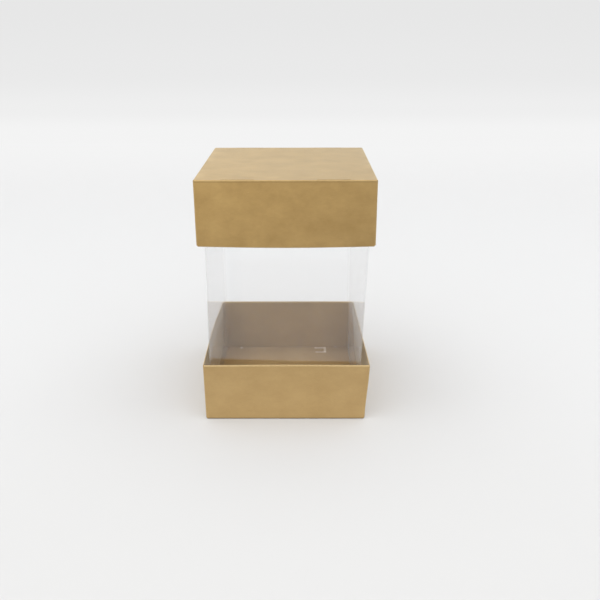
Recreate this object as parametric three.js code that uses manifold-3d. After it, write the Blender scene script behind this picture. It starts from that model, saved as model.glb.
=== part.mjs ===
// A small upright gift box: a folded kraft board tray, a clear creased sleeve that stands in the tray,
// and a folded kraft board lid over the top of the sleeve.
// Millimetres, +Z up. The origin is on the ground, under the middle of the tray.
import * as THREE from "three";
import { mergeVertices } from "three/addons/utils/BufferGeometryUtils.js";
import Module from "manifold-3d";

const wasm = await Module();
wasm.setup();

// Driving dimensions of the box
const BOX_WIDTH = 80; // outside, left to right
const BOX_DEPTH = 80; // outside, front to back
const TRAY_HEIGHT = 30; // the base tray, over its rims
const LID_HEIGHT = 30; // the lid, from its top to its lower rims
const SLEEVE_HEIGHT = 118.6;

// Driving dimensions of the kraft board and its folds
const BOARD = 0.4; // thickness
const FOLD_INNER_RADIUS = 0.2; // inside a crease
const EDGE_SETBACK = 0.4; // a front or back wall's cut edge stops this short of the corner
const ROLL_EASE = 0.2; // between a rolled rim's end and the crease of the corner flap
const SIDE_DROP = 0.3; // a single side wall ends this far below the rolled rims
const FLAP_LENGTH = 22; // a corner flap, from its crease to its free end
const FLAP_EASE = 0.3; // above and below a corner flap, inside the double wall
const FLAP_CORNER_CUT = 5; // the bevel on a corner flap's free corners
const LUG_WIDTH = 14; // a lock lug on the foot of an inner wall
const LUG_SPACING = 42; // between the middles of a wall's two lugs
const LUG_CORNER_CUT = 0.2;
const LUG_EASE = 0.2; // round a lug in its cut-out
const LUG_TIP_GAP = 0.1; // a lug's tip stays this far above the floor panel's outer face

// Driving dimensions of the clear sleeve
const SHEET = 0.3; // thickness
const SLEEVE_FOLD_RADIUS = 0.7; // inside a crease
const SLEEVE_CLEARANCE = 1.3; // between the sleeve and the inner walls
const STANDING_GAP = 0.3; // under the sleeve's foot and over its top edge
const GLUE_FLAP_WIDTH = 10;
const GLUE_THICKNESS = 0.1;
const GLUE_EDGE_MARGIN = 1; // the adhesive stops this short of the flap's crease and free edge
const GLUE_END_MARGIN = 2; // the adhesive stops this short of the sleeve's ends
const SEAM_SETBACK = 0.8; // the back panel's cut edge stops this short of the corner

const BEND_STEP = Math.PI / 16; // one facet of a crease

// Sizes that follow from the driving ones
const QUARTER = Math.PI / 2;
const foldRadius = FOLD_INNER_RADIUS + BOARD / 2; // to the middle of the board
const foldReach = FOLD_INNER_RADIUS + BOARD; // how far a crease reaches in from the outer face
const doubleWall = 3 * BOARD; // outer wall, corner flap and inner wall
const rollRadius = (doubleWall - BOARD) / 2;
const rollReach = doubleWall / 2; // how far a rolled rim reaches down before the walls run straight
const boxHeight = 2 * (BOARD + STANDING_GAP) + SLEEVE_HEIGHT;
const sleeveWidth = BOX_WIDTH - 2 * (doubleWall + SLEEVE_CLEARANCE);
const sleeveDepth = BOX_DEPTH - 2 * (doubleWall + SLEEVE_CLEARANCE);
const sleeveFoot = BOARD + STANDING_GAP;

const kraft = () => new THREE.MeshStandardMaterial({ color: 0xb4935f, roughness: 0.85, metalness: 0 });
const clearSheet = () =>
  new THREE.MeshStandardMaterial({
    color: 0xf3f6f7,
    roughness: 0.08,
    metalness: 0,
    transparent: true,
    opacity: 0.2,
  });
const adhesive = () =>
  new THREE.MeshStandardMaterial({
    color: 0xf2f0e6,
    roughness: 0.4,
    metalness: 0,
    transparent: true,
    opacity: 0.35,
  });

// The edge-on outline of a strip of board or sheet that is laid down move by move.
// A move goes { ahead: length } or turns { bend: angle, radius: of the strip's middle line }.
function stripShape(start, heading, moves, thickness) {
  const leftSide = [];
  const rightSide = [];
  const at = start.clone();
  let angle = heading;
  const leftward = () => new THREE.Vector2(-Math.sin(angle), Math.cos(angle));
  const mark = () => {
    leftSide.push(at.clone().addScaledVector(leftward(), thickness / 2));
    rightSide.push(at.clone().addScaledVector(leftward(), -thickness / 2));
  };
  mark();
  for (const { ahead, bend, radius } of moves) {
    if (ahead !== undefined) {
      at.add(new THREE.Vector2(Math.cos(angle), Math.sin(angle)).multiplyScalar(ahead));
      mark();
      continue;
    }
    const toCentre = radius * Math.sign(bend);
    const centre = at.clone().addScaledVector(leftward(), toCentre);
    const steps = Math.ceil(Math.abs(bend) / BEND_STEP);
    for (let i = 0; i < steps; i++) {
      angle += bend / steps;
      at.copy(centre).addScaledVector(leftward(), -toCentre);
      mark();
    }
  }
  return new THREE.Shape([...leftSide, ...rightSide.reverse()]);
}

const extrude = (shape, depth) => new THREE.ExtrudeGeometry(shape, { depth, bevelEnabled: false });

// Turns a geometry so that its own X, Y and Z run along the three given directions.
function facing(geometry, x, y, z) {
  return geometry.applyMatrix4(new THREE.Matrix4().makeBasis(x, y, z));
}

const ALONG_X = new THREE.Vector3(1, 0, 0);
const ALONG_Y = new THREE.Vector3(0, 1, 0);
const ALONG_Z = new THREE.Vector3(0, 0, 1);
const TOWARDS_FRONT = new THREE.Vector3(0, -1, 0);

// A section drawn in Y and Z, drawn out along X over the given length about the middle.
function alongWall(section, length) {
  return facing(extrude(section, length), ALONG_Y, ALONG_Z, ALONG_X).translate(-length / 2, 0, 0);
}

function toSolid(geometry) {
  const bare = geometry.clone().deleteAttribute("normal").deleteAttribute("uv");
  const merged = mergeVertices(bare, 1e-4);
  const mesh = new wasm.Mesh({
    numProp: 3,
    vertProperties: new Float32Array(merged.attributes.position.array),
    triVerts: new Uint32Array(merged.index.array),
  });
  return new wasm.Manifold(mesh);
}

function toGeometry(solid) {
  const mesh = solid.getMesh();
  const geometry = new THREE.BufferGeometry();
  geometry.setAttribute("position", new THREE.BufferAttribute(mesh.vertProperties, 3));
  geometry.setIndex(new THREE.BufferAttribute(mesh.triVerts, 1));
  geometry.computeVertexNormals();
  return geometry;
}

function named(name, geometry, material) {
  const mesh = new THREE.Mesh(geometry, material);
  mesh.name = name;
  return mesh;
}

// The middles of the two lock lugs along a wall
const lugMiddles = [-LUG_SPACING / 2, LUG_SPACING / 2];

// The floor panel's outline, with a cut-out in its front and back edges for each lock lug.
function floorGeometry() {
  const halfWidth = BOX_WIDTH / 2 - foldReach;
  const halfDepth = BOX_DEPTH / 2 - foldReach;
  const cutDepth = doubleWall + LUG_EASE - foldReach;
  const halfCut = LUG_WIDTH / 2 + LUG_EASE;
  const edge = (side) => {
    const points = [new THREE.Vector2(-halfWidth, side * halfDepth)];
    for (const middle of lugMiddles) {
      points.push(new THREE.Vector2(middle - halfCut, side * halfDepth));
      points.push(new THREE.Vector2(middle - halfCut, side * (halfDepth - cutDepth)));
      points.push(new THREE.Vector2(middle + halfCut, side * (halfDepth - cutDepth)));
      points.push(new THREE.Vector2(middle + halfCut, side * halfDepth));
    }
    points.push(new THREE.Vector2(halfWidth, side * halfDepth));
    return points;
  };
  return extrude(new THREE.Shape([...edge(-1), ...edge(1).reverse()]), BOARD);
}

// A wall that rises from the floor panel's edge by a rounded crease, up to the given height.
function creasedWallGeometry(height, length) {
  const start = new THREE.Vector2(foldReach, BOARD / 2);
  const moves = [{ bend: -QUARTER, radius: foldRadius }, { ahead: height - foldReach }];
  return alongWall(stripShape(start, Math.PI, moves, BOARD), length);
}

// The half-round fold that carries a double wall over its rim.
function rimFoldGeometry(wallHeight, length) {
  const start = new THREE.Vector2(BOARD / 2, wallHeight - rollReach);
  const moves = [{ bend: -Math.PI, radius: rollRadius }];
  return alongWall(stripShape(start, QUARTER, moves, BOARD), length);
}

// The inner layer of a double wall, which stands on the floor panel and drops two lugs into it.
function innerWallGeometry(wallHeight, length) {
  const top = wallHeight - rollReach;
  const points = [new THREE.Vector2(-length / 2, top), new THREE.Vector2(-length / 2, BOARD)];
  for (const middle of lugMiddles) {
    const halfLug = LUG_WIDTH / 2;
    points.push(new THREE.Vector2(middle - halfLug, BOARD));
    points.push(new THREE.Vector2(middle - halfLug, LUG_TIP_GAP + LUG_CORNER_CUT));
    points.push(new THREE.Vector2(middle - halfLug + LUG_CORNER_CUT, LUG_TIP_GAP));
    points.push(new THREE.Vector2(middle + halfLug - LUG_CORNER_CUT, LUG_TIP_GAP));
    points.push(new THREE.Vector2(middle + halfLug, LUG_TIP_GAP + LUG_CORNER_CUT));
    points.push(new THREE.Vector2(middle + halfLug, BOARD));
  }
  points.push(new THREE.Vector2(length / 2, BOARD), new THREE.Vector2(length / 2, top));
  const plate = facing(extrude(new THREE.Shape(points), BOARD), ALONG_X, ALONG_Z, TOWARDS_FRONT);
  return plate.translate(0, doubleWall, 0);
}

// A corner flap with the upright crease that folds it off the end of a side wall.
// The wall runs along X at Y = 0, and its crease begins at creaseStart; end is -1 or 1.
function cornerFlapGeometry(wallHeight, creaseStart, end) {
  const foot = foldReach + FLAP_EASE;
  const top = wallHeight - rollReach - FLAP_EASE;
  const start = new THREE.Vector2(end * creaseStart, BOARD / 2);
  const heading = end > 0 ? 0 : Math.PI;
  const moves = [{ bend: end * QUARTER, radius: foldRadius }, { ahead: FLAP_LENGTH }];
  const plan = stripShape(start, heading, moves, BOARD);
  const whole = extrude(plan, top - foot).translate(0, 0, foot);

  // The blank's outline seen along X: full height at the crease, bevelled at the free end.
  const freeEnd = foldReach + FLAP_LENGTH;
  const outline = new THREE.Shape([
    new THREE.Vector2(-BOARD, foot - BOARD),
    new THREE.Vector2(freeEnd - FLAP_CORNER_CUT - BOARD, foot - BOARD),
    new THREE.Vector2(freeEnd + BOARD, foot + FLAP_CORNER_CUT + BOARD),
    new THREE.Vector2(freeEnd + BOARD, top - FLAP_CORNER_CUT - BOARD),
    new THREE.Vector2(freeEnd - FLAP_CORNER_CUT - BOARD, top + BOARD),
    new THREE.Vector2(-BOARD, top + BOARD),
  ]);
  const breadth = 4 * foldReach;
  const keep = alongWall(outline, breadth).translate(end * (creaseStart + foldReach / 2), 0, 0);
  return toGeometry(toSolid(whole).intersect(toSolid(keep)));
}

// One folded blank, standing open upwards on z = 0. sideNames gives the walls' names, counted from
// the wall on -Y and on round by +X.
function foldedTray(prefix, floorName, wallHeight, sideNames) {
  const tray = new THREE.Group();
  const [nearName, plusName, farName, minusName] = sideNames;
  tray.add(named(`${prefix}_${floorName}`, floorGeometry(), kraft()));

  const outerLength = BOX_WIDTH - 2 * EDGE_SETBACK;
  const innerLength = BOX_WIDTH - 2 * (foldReach + ROLL_EASE);
  for (const [side, turn] of [[nearName, 0], [farName, Math.PI]]) {
    const wall = new THREE.Group();
    wall.rotation.z = turn;
    const seat = new THREE.Vector3(0, -BOX_DEPTH / 2, 0);
    const layers = {
      outer_wall: creasedWallGeometry(wallHeight - rollReach, outerLength),
      rim_fold: rimFoldGeometry(wallHeight, innerLength),
      inner_wall: innerWallGeometry(wallHeight, innerLength),
    };
    for (const [layer, geometry] of Object.entries(layers)) {
      const mesh = named(`${prefix}_${side}_${layer}`, geometry, kraft());
      mesh.position.copy(seat);
      wall.add(mesh);
    }
    tray.add(wall);
  }

  // The side walls reach from crease to crease, and the flaps lie behind the outer walls.
  const creaseStart = BOX_DEPTH / 2 - BOARD - foldReach;
  for (const [side, turn, ends] of [
    [plusName, QUARTER, { [nearName]: -1, [farName]: 1 }],
    [minusName, -QUARTER, { [nearName]: 1, [farName]: -1 }],
  ]) {
    const wall = new THREE.Group();
    wall.rotation.z = turn;
    const seat = new THREE.Vector3(0, -BOX_WIDTH / 2, 0);
    const panel = creasedWallGeometry(wallHeight - SIDE_DROP, 2 * creaseStart);
    const mesh = named(`${prefix}_${side}_wall`, panel, kraft());
    mesh.position.copy(seat);
    wall.add(mesh);
    for (const [neighbour, end] of Object.entries(ends)) {
      const flapGeometry = cornerFlapGeometry(wallHeight, creaseStart, end);
      const flap = named(`${prefix}_${neighbour}_${side}_corner_flap`, flapGeometry, kraft());
      flap.position.copy(seat);
      wall.add(flap);
    }
    tray.add(wall);
  }
  return tray;
}

// The clear sleeve: four panels that meet halfway round each crease, and the glued overlap at the
// back left corner. Plans are drawn in X and Y, and rise over the sleeve's height.
function clearSleeve() {
  const sleeve = new THREE.Group();
  sleeve.position.z = sleeveFoot;
  const bendRadius = SLEEVE_FOLD_RADIUS + SHEET / 2;
  const bendReach = SLEEVE_FOLD_RADIUS + SHEET;
  const halfBend = { bend: QUARTER / 2, radius: bendRadius };
  const overlap = SHEET + GLUE_THICKNESS; // how far the glue flap lies in from the back panel
  const right = sleeveWidth / 2;
  const back = sleeveDepth / 2;

  // A point on the strip's middle line, halfway round a crease about the given centre.
  const halfway = (centreX, centreY, direction) =>
    new THREE.Vector2(Math.cos(direction), Math.sin(direction))
      .multiplyScalar(bendRadius)
      .add(new THREE.Vector2(centreX, centreY));
  const eighth = QUARTER / 2;
  const frontLeft = halfway(-right + bendReach, -back + bendReach, -3 * eighth);
  const frontRight = halfway(right - bendReach, -back + bendReach, -eighth);
  const backRight = halfway(right - bendReach, back - bendReach, eighth);
  const backLeft = halfway(-right + bendReach, back - overlap - bendReach, 3 * eighth);
  const acrossWidth = 2 * (right - bendReach);
  const acrossDepth = 2 * (back - bendReach);

  const plans = {
    front_panel: stripShape(frontLeft, -eighth, [halfBend, { ahead: acrossWidth }, halfBend], SHEET),
    right_panel: stripShape(frontRight, eighth, [halfBend, { ahead: acrossDepth }, halfBend], SHEET),
    back_panel: stripShape(
      backRight,
      3 * eighth,
      [halfBend, { ahead: 2 * right - bendReach - SEAM_SETBACK }],
      SHEET,
    ),
    glue_flap: stripShape(
      backLeft,
      eighth,
      [{ bend: -eighth, radius: bendRadius }, { ahead: GLUE_FLAP_WIDTH - bendReach }],
      SHEET,
    ),
    left_panel: stripShape(
      backLeft,
      eighth - Math.PI,
      [halfBend, { ahead: acrossDepth - overlap }, halfBend],
      SHEET,
    ),
  };
  for (const [name, plan] of Object.entries(plans)) {
    sleeve.add(named(`sleeve_${name}`, extrude(plan, SLEEVE_HEIGHT), clearSheet()));
  }

  const glueMiddle = -right + (bendReach + GLUE_FLAP_WIDTH) / 2;
  const glueWidth = GLUE_FLAP_WIDTH - bendReach - 2 * GLUE_EDGE_MARGIN;
  const glueHeight = SLEEVE_HEIGHT - 2 * GLUE_END_MARGIN;
  const glue = new THREE.BoxGeometry(glueWidth, GLUE_THICKNESS, glueHeight);
  glue.translate(glueMiddle, back - SHEET - GLUE_THICKNESS / 2, SLEEVE_HEIGHT / 2);
  sleeve.add(named("sleeve_seam_adhesive", glue, adhesive()));
  return sleeve;
}

const box = new THREE.Group();
box.add(foldedTray("base", "floor_panel", TRAY_HEIGHT, ["front", "right", "back", "left"]));
box.add(clearSleeve());

// The lid is the same blank turned over, so its -Y wall comes to the back.
const lid = foldedTray("lid", "top_panel", LID_HEIGHT, ["back", "right", "front", "left"]);
lid.rotation.x = Math.PI;
lid.position.z = boxHeight;
box.add(lid);

export default box;
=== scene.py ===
# A kraft gift box: a folded kraft board tray, a clear creased sleeve that stands in it, and a
# folded kraft board lid. Metres, +Z up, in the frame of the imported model.
import math

import bmesh
import bpy
from mathutils import Matrix, Vector


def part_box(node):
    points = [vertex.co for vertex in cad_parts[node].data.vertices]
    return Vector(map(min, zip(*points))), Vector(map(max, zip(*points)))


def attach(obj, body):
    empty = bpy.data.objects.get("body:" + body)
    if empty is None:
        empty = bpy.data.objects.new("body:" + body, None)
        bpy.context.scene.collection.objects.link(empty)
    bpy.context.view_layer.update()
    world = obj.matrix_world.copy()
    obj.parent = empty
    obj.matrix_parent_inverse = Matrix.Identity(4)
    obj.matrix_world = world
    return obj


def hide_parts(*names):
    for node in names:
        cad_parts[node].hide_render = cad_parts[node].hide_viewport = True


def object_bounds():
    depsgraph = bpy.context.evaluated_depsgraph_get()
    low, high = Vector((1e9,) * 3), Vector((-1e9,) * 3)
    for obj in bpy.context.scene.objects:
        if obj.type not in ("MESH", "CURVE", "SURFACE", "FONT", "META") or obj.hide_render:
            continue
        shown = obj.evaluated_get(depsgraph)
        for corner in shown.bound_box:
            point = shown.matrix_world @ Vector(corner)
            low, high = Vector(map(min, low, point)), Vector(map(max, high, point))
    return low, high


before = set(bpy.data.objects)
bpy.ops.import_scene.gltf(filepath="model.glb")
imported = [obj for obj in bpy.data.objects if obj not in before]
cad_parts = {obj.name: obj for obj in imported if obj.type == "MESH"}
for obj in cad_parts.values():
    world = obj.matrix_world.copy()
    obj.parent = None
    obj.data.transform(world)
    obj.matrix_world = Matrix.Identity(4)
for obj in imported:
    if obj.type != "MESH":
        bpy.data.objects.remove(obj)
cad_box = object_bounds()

MM = 0.001
UP = Vector((0, 0, 1))


# Sizes read from the frame

def node_names(prefix):
    return sorted(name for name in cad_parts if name.startswith(prefix))


base_nodes = node_names("base_")
lid_nodes = node_names("lid_")
sheet_nodes = [name for name in node_names("sleeve_") if name != "sleeve_seam_adhesive"]

floor_low, floor_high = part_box("base_floor_panel")
outer_low, outer_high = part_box("base_front_outer_wall")
inner_low, inner_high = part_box("base_front_inner_wall")
rim_low, rim_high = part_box("base_front_rim_fold")
side_low, side_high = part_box("base_left_wall")
flap_low, flap_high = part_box("base_front_left_corner_flap")
sleeve_low, sleeve_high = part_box("sleeve_front_panel")
seam_low, seam_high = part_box("sleeve_seam_adhesive")

HALF_WIDTH = -side_low.x
HALF_DEPTH = -outer_low.y
TRAY_HEIGHT = rim_high.z
BOX_HEIGHT = cad_box[1].z
BOARD = floor_high.z - floor_low.z
FOLD_REACH = HALF_WIDTH - floor_high.x
FOLD_RADIUS = FOLD_REACH - BOARD / 2
FLOOR_X = HALF_WIDTH - FOLD_REACH  # the flat part of the floor panel, to each side of its middle
FLOOR_Y = HALF_DEPTH - FOLD_REACH
DOUBLE_WALL = rim_high.y - rim_low.y
ROLL_RADIUS = (DOUBLE_WALL - BOARD) / 2
ROLL_START = rim_low.z
OUTER_LENGTH = outer_high.x
INNER_LENGTH = inner_high.x
INNER_FOOT = floor_high.z
LUG_TIP = inner_low.z
SIDE_HEIGHT = side_high.z
SIDE_LENGTH = side_high.y
FLAP_FOOT = flap_low.z
FLAP_TOP = flap_high.z
FLAP_LENGTH = flap_high.x - flap_low.x - FOLD_REACH
SHEET_FOOT = sleeve_low.z
SHEET_TOP = sleeve_high.z
SHEET_HALF_WIDTH = sleeve_high.x
SHEET_HALF_DEPTH = -sleeve_low.y

# Sizes that the node boxes don't give
LUG_WIDTH = 14 * MM
LUG_SPACING = 42 * MM
LUG_EASE = 0.2 * MM
FLAP_CORNER_CUT = 5 * MM
SHEET = 0.3 * MM
SHEET_FOLD_RADIUS = 0.85 * MM  # of the sheet's middle, round a crease
GLUE_FLAP_WIDTH = 10 * MM
SEAM_SETBACK = 0.8 * MM  # the back panel's cut edge stops this short of the corner
SEAM_MARGIN = 0.01 * MM  # between the adhesive and the layer of sheet on each side of it
SEAM_SLOW_WAVE = (0.10, 0.9)  # share of the adhesive's half width, and radians per millimetre
SEAM_FAST_WAVE = (0.06, 2.3)
JOINED_WIDTH = 9 * MM  # the sheet counts as glued this far in from its two joined edges
WALL_LENGTH = OUTER_LENGTH - 0.15 * MM  # leaves a hair's breadth between front and side walls

# How finely the sheets are divided, and how their edges are finished
PITCH = 4 * MM
FOLD_STEPS = 6
ROLL_STEPS = 12
CREASE_FADE = 0.5 * MM  # the mark of a crease fades out over this much of the flat board
BOARD_ROUNDING = 0.06 * MM
SHEET_ROUNDING = 0.04 * MM
SEAM_ROUNDING = 0.01 * MM
ROUNDED_FROM = math.radians(50)  # an edge sharper than this is rounded
JOIN_REACH = 0.001 * MM  # corners of two grids closer than this are joined
HAIR = 1e-9  # metres; two places closer than this are one


# Small helpers

def smooth(value, start, end):
    """0 before start, 1 after end, and an even turn between them."""
    t = min(max((value - start) / (end - start), 0), 1)
    return t * t * (3 - 2 * t)


def bow(value, half):
    """1 in the middle of a span, 0 at its two ends."""
    return math.cos(math.pi / 2 * min(max(value / half, -1), 1))


def stations(marks):
    """Positions from the first mark to the last, through every mark, at most PITCH apart."""
    places = [marks[0]]
    for a, b in zip(marks, marks[1:]):
        count = max(1, math.ceil(abs(b - a) / PITCH))
        places += [a + (b - a) * i / count for i in range(1, count + 1)]
    return places


class Sheet:
    """The middle surface of a folded sheet, made of grids that join where their edges meet."""

    def __init__(self):
        self.mesh = bmesh.new()
        self.flat = self.mesh.loops.layers.uv.new("flat")
        self.crease = self.mesh.verts.layers.float.new("crease")

    def grid(self, rows, columns, place, keep=lambda i, j: True):
        """place(row, column) gives a point, its place on the flat sheet and its crease mark."""
        made = {}

        def corner(i, j):
            if (i, j) not in made:
                point, flat, crease = place(rows[i], columns[j])
                vertex = self.mesh.verts.new(point)
                vertex[self.crease] = crease
                made[i, j] = vertex, flat
            return made[i, j]

        for i in range(len(rows) - 1):
            for j in range(len(columns) - 1):
                if not keep(i, j):
                    continue
                ring = [corner(i, j), corner(i + 1, j), corner(i + 1, j + 1), corner(i, j + 1)]
                face = self.mesh.faces.new([vertex for vertex, _ in ring])
                for loop, (_, flat) in zip(face.loops, ring):
                    loop[self.flat].uv = flat

    def finish(self, name, thickness, settle, materials, rounding):
        """Joins the grids, lets the sheet settle, and gives it its thickness and rounded edges.
        materials are the outer face's, the reverse's where it has its own, and the cut edges'."""
        bmesh.ops.remove_doubles(self.mesh, verts=self.mesh.verts, dist=JOIN_REACH)
        for vertex in self.mesh.verts:
            vertex.co = settle(vertex.co)
        for face in self.mesh.faces:
            face.smooth = True
        data = bpy.data.meshes.new(name)
        self.mesh.to_mesh(data)
        self.mesh.free()
        piece = bpy.data.objects.new(name, data)
        bpy.context.scene.collection.objects.link(piece)
        for material in materials:
            data.materials.append(material)
        solid = piece.modifiers.new("thickness", "SOLIDIFY")
        solid.thickness = thickness
        solid.offset = 0
        solid.use_even_offset = True
        solid.material_offset = max(0, len(materials) - 2)
        solid.material_offset_rim = len(materials) - 1
        edges = piece.modifiers.new("edges", "BEVEL")
        edges.width = rounding
        edges.segments = 2
        edges.limit_method = "ANGLE"
        edges.angle_limit = ROUNDED_FROM
        edges.harden_normals = False
        normals = piece.modifiers.new("normals", "WEIGHTED_NORMAL")
        normals.keep_sharp = True
        return piece


# The folded board blank

FOOT_GROOVE_SHADE = 0.7  # painted shade: how dark the groove beside the crease at a wall's foot is painted


class Station:
    """A place down a wall: its distance on the flat board, reach from the middle and height.
    crease is the fold's mark there: above zero pale, part wear and part painted highlight, below zero
    dark, painted shade.
    length is how far the wall reaches along to each side there."""

    def __init__(self, distance, out, height, crease=0.0, length=WALL_LENGTH):
        self.distance = distance
        self.out = out
        self.height = height
        self.crease = crease
        self.length = length


def foot_crease(half, wear_and_light):
    """Stations round the crease between the floor panel and a wall."""
    steps = []
    for i in range(FOLD_STEPS + 1):
        angle = math.pi / 2 * i / FOLD_STEPS
        out = half - FOLD_REACH + FOLD_RADIUS * math.sin(angle)
        height = BOARD / 2 + FOLD_RADIUS * (1 - math.cos(angle))
        length = FLOOR_X if i == 0 else WALL_LENGTH
        # The groove where the wall begins gets painted shade
        mark = wear_and_light if i < FOLD_STEPS else -FOOT_GROOVE_SHADE
        steps.append(Station(FOLD_RADIUS * angle, out, height, mark, length))
    return steps


def straight(last, heights):
    """Stations up or down from the last one, at the given heights."""
    made = []
    for height in heights:
        travelled = abs(height - last.height)
        mark = max(0.0, 1 - travelled / CREASE_FADE) * last.crease
        made.append(Station(last.distance + travelled, last.out, height, mark, last.length))
    return made


def double_wall_stations(wear_and_light):
    """Up the outer wall, over the rolled rim, and down the inner wall to the tips of its lugs."""
    foot_wear_and_light, rim_wear_and_highlight = wear_and_light
    path = foot_crease(HALF_DEPTH, foot_wear_and_light)
    fade = CREASE_FADE
    marks = [FOLD_REACH, FOLD_REACH + fade, ROLL_START - fade, ROLL_START]
    path += straight(path[-1], stations(marks)[1:])
    roll_from = path[-1]
    for i in range(1, ROLL_STEPS + 1):
        angle = math.pi * i / ROLL_STEPS
        out = roll_from.out - ROLL_RADIUS * (1 - math.cos(angle))
        height = ROLL_START + ROLL_RADIUS * math.sin(angle)
        length = WALL_LENGTH + (INNER_LENGTH - WALL_LENGTH) * smooth(angle, math.pi / 3, math.pi)
        path.append(Station(roll_from.distance + ROLL_RADIUS * angle, out, height, rim_wear_and_highlight, length))
    path += straight(path[-1], stations([ROLL_START, ROLL_START - fade, INNER_FOOT])[1:])
    path.append(Station(path[-1].distance + INNER_FOOT - LUG_TIP, path[-1].out, LUG_TIP))
    return path


def side_wall_stations(wear_and_light):
    """Up a side wall of one layer, with a station at the foot and top of the corner flaps."""
    foot_wear_and_light, _ = wear_and_light
    path = foot_crease(HALF_WIDTH, foot_wear_and_light)
    marks = [FOLD_REACH, FLAP_FOOT, FLAP_FOOT + CREASE_FADE, FLAP_TOP, SIDE_HEIGHT]
    return path + straight(path[-1], stations(marks)[1:])


def lug_spans(ease=0.0):
    """Where the two lock lugs lie along a wall, with ease added at both ends of each."""
    reach = LUG_WIDTH / 2
    middles = (-LUG_SPACING / 2, LUG_SPACING / 2)
    return [(middle - reach - ease, middle + reach + ease) for middle in middles]


def within(a, b, spans):
    """Whether the stretch from a to b lies in one of the spans."""
    return any(start - HAIR <= a and b <= end + HAIR for start, end in spans)


def lay_floor(sheet, across, along, cut_y):
    """The floor panel, without the cut-outs that the lugs drop into, which start at cut_y."""
    rows = across[::-1]
    cuts = lug_spans(LUG_EASE)

    def place(x, y):
        return (x, y, BOARD / 2), (x, y), 0.0

    def keep(i, j):
        in_cut = within(rows[i + 1], rows[i], cuts)
        return not (in_cut and abs(along[j] + along[j + 1]) / 2 > cut_y)

    sheet.grid(rows, along, place, keep)


def lay_double_walls(sheet, across, wear_and_light):
    """The front and back walls, rolled over at the rim, with their lugs."""
    path = double_wall_stations(wear_and_light)
    lugs = lug_spans()
    for n in (Vector((0, -1, 0)), Vector((0, 1, 0))):
        a = n.cross(UP)

        def place(row, t):
            if abs(t) > FLOOR_X - HAIR:
                t = math.copysign(row.length, t)
            point = n * row.out + a * t + UP * row.height
            flat = n * (FLOOR_Y + row.distance) + a * t
            return point, (flat.x, flat.y), row.crease

        def keep(i, j):
            return i < len(path) - 2 or within(across[j], across[j + 1], lugs)

        sheet.grid(path, across, place, keep)


def lay_side_walls(sheet, along, wear_and_light):
    """The left and right walls, of one layer, with a corner flap folded in at each end."""
    path = side_wall_stations(wear_and_light)
    bend = FOLD_RADIUS * math.pi / 2
    crease = [SIDE_LENGTH + bend * i / FOLD_STEPS for i in range(FOLD_STEPS + 1)]
    cut_from = FLAP_LENGTH - FLAP_CORNER_CUT
    flap_run = [crease[-1] + q for q in stations([0, CREASE_FADE, cut_from, FLAP_LENGTH])[1:]]
    flap = crease[1:] + flap_run
    wall = [y for y in along if abs(y) < SIDE_LENGTH + HAIR]
    columns = [-q for q in reversed(flap)] + wall + flap
    middle_height = (FLAP_FOOT + FLAP_TOP) / 2
    half_height = (FLAP_TOP - FLAP_FOOT) / 2
    for n in (Vector((1, 0, 0)), Vector((-1, 0, 0))):
        a = n.cross(UP)

        def place(row, t):
            flat = n * (FLOOR_X + row.distance) + a * t
            past = abs(t) - SIDE_LENGTH
            if past < HAIR:
                return n * row.out + a * t + UP * row.height, (flat.x, flat.y), row.crease
            angle = min(past / FOLD_RADIUS, math.pi / 2)
            run = max(0.0, past - bend)
            out = row.out - FOLD_RADIUS * (1 - math.cos(angle)) - run
            reach = SIDE_LENGTH + FOLD_RADIUS * math.sin(angle)
            taper = 1 - max(0.0, run - cut_from) / half_height
            height = middle_height + (row.height - middle_height) * taper
            mark = max(0.0, 1 - run / CREASE_FADE)
            return n * out + a * math.copysign(reach, t) + UP * height, (flat.x, flat.y), mark

        def keep(i, j):
            in_flap = max(abs(columns[j]), abs(columns[j + 1])) > SIDE_LENGTH + HAIR
            beside = path[i].height > FLAP_FOOT - HAIR and path[i + 1].height < FLAP_TOP + HAIR
            return beside or not in_flap

        sheet.grid(path, columns, place, keep)


def folded_blank(name, settle, wear_and_light, materials):
    """The board blank, folded up from its floor panel. settle moves a point of the folded board,
    and the third argument gives the marks of the creases round the floor panel and of the rolled
    rims: pale marks, part wear and part painted highlight, and, below zero, painted shade."""
    sheet = Sheet()
    cut_y = HALF_DEPTH - DOUBLE_WALL - LUG_EASE
    lug_marks = [mark for span in lug_spans() + lug_spans(LUG_EASE) for mark in span]
    across = stations(sorted([-FLOOR_X, FLOOR_X, *lug_marks]))
    along = stations([-FLOOR_Y, -SIDE_LENGTH, -cut_y, cut_y, SIDE_LENGTH, FLOOR_Y])
    lay_floor(sheet, across, along, cut_y)
    lay_double_walls(sheet, across, wear_and_light)
    lay_side_walls(sheet, along, wear_and_light)
    return sheet.finish(name, BOARD, settle, materials, BOARD_ROUNDING)


# How the folded board has settled, as the hand-made box in the photograph has

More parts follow.
